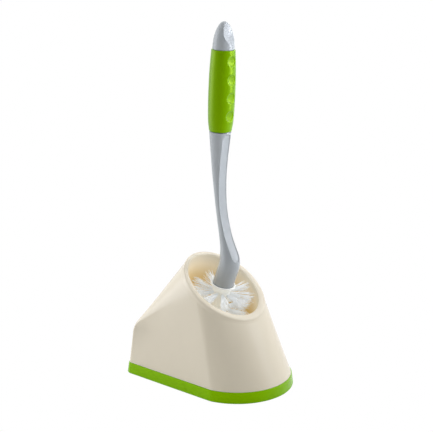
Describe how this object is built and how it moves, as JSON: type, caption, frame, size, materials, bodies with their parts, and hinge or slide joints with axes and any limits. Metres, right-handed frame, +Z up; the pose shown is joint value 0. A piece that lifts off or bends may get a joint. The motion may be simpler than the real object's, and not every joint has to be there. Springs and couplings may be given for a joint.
{
  "type": "toilet brush holder",
  "caption": "Toilet brush with an S-shaped soft-grip handle and a round tufted head, standing in a wedge-shaped holder with a slanted mouth and a drip tray.",
  "frame": {"origin": "on the floor, below the middle of the bounding box of holder and brush", "axes": "+Z up along the height, -Y towards the round front of the holder, X across; X = 0 is the middle plane"},
  "size_m": [0.1422, 0.187, 0.427],
  "materials": {
    "shell_cream": "glossy moulded cream plastic",
    "tray_green": "satin moulded lime green plastic",
    "grip_green": "soft satin lime green elastomer",
    "handle_grey": "satin moulded cool grey plastic",
    "hub_white": "moulded white plastic",
    "bristle_white": "white nylon filament",
    "foot_rubber": "matt grey elastomer"
  },
  "bodies": {
    "holder": {"holder_shell": "shell_cream", "base_tray": "tray_green", "foot_front_left": "foot_rubber", "foot_front_right": "foot_rubber", "foot_rear_left": "foot_rubber", "foot_rear_right": "foot_rubber"},
    "brush": {"handle_stem": "handle_grey", "grip_sleeve": "grip_green", "end_cap": "handle_grey", "brush_hub": "hub_white", "tuft_1_1": "bristle_white", "tuft_1_2": "bristle_white", "tuft_1_3": "bristle_white", "tuft_1_4": "bristle_white", "tuft_1_5": "bristle_white", "tuft_1_6": "bristle_white", "tuft_1_7": "bristle_white", "tuft_1_8": "bristle_white", "tuft_1_9": "bristle_white", "tuft_2_1": "bristle_white", "tuft_2_2": "bristle_white", "tuft_2_3": "bristle_white", "tuft_2_4": "bristle_white", "tuft_2_5": "bristle_white", "tuft_2_6": "bristle_white", "tuft_2_7": "bristle_white", "tuft_2_8": "bristle_white", "tuft_2_9": "bristle_white", "tuft_3_1": "bristle_white", "tuft_3_2": "bristle_white", "tuft_3_3": "bristle_white", "tuft_3_4": "bristle_white", "tuft_3_5": "bristle_white", "tuft_3_6": "bristle_white", "tuft_3_7": "bristle_white", "tuft_3_8": "bristle_white", "tuft_3_9": "bristle_white", "tuft_4_1": "bristle_white", "tuft_4_2": "bristle_white", "tuft_4_3": "bristle_white", "tuft_4_4": "bristle_white", "tuft_4_5": "bristle_white", "tuft_4_6": "bristle_white", "tuft_4_7": "bristle_white", "tuft_4_8": "bristle_white", "tuft_4_9": "bristle_white", "tuft_5_1": "bristle_white", "tuft_5_2": "bristle_white", "tuft_5_3": "bristle_white", "tuft_5_4": "bristle_white", "tuft_5_5": "bristle_white", "tuft_5_6": "bristle_white", "tuft_5_7": "bristle_white", "tuft_5_8": "bristle_white", "tuft_5_9": "bristle_white"}
  },
  "joints": [
    {"name": "brush_lift", "type": "slide", "parent": "holder", "child": "brush", "axis": [0, -0.2588, 0.9659], "range_m": [0, 0.16]}
  ]
}
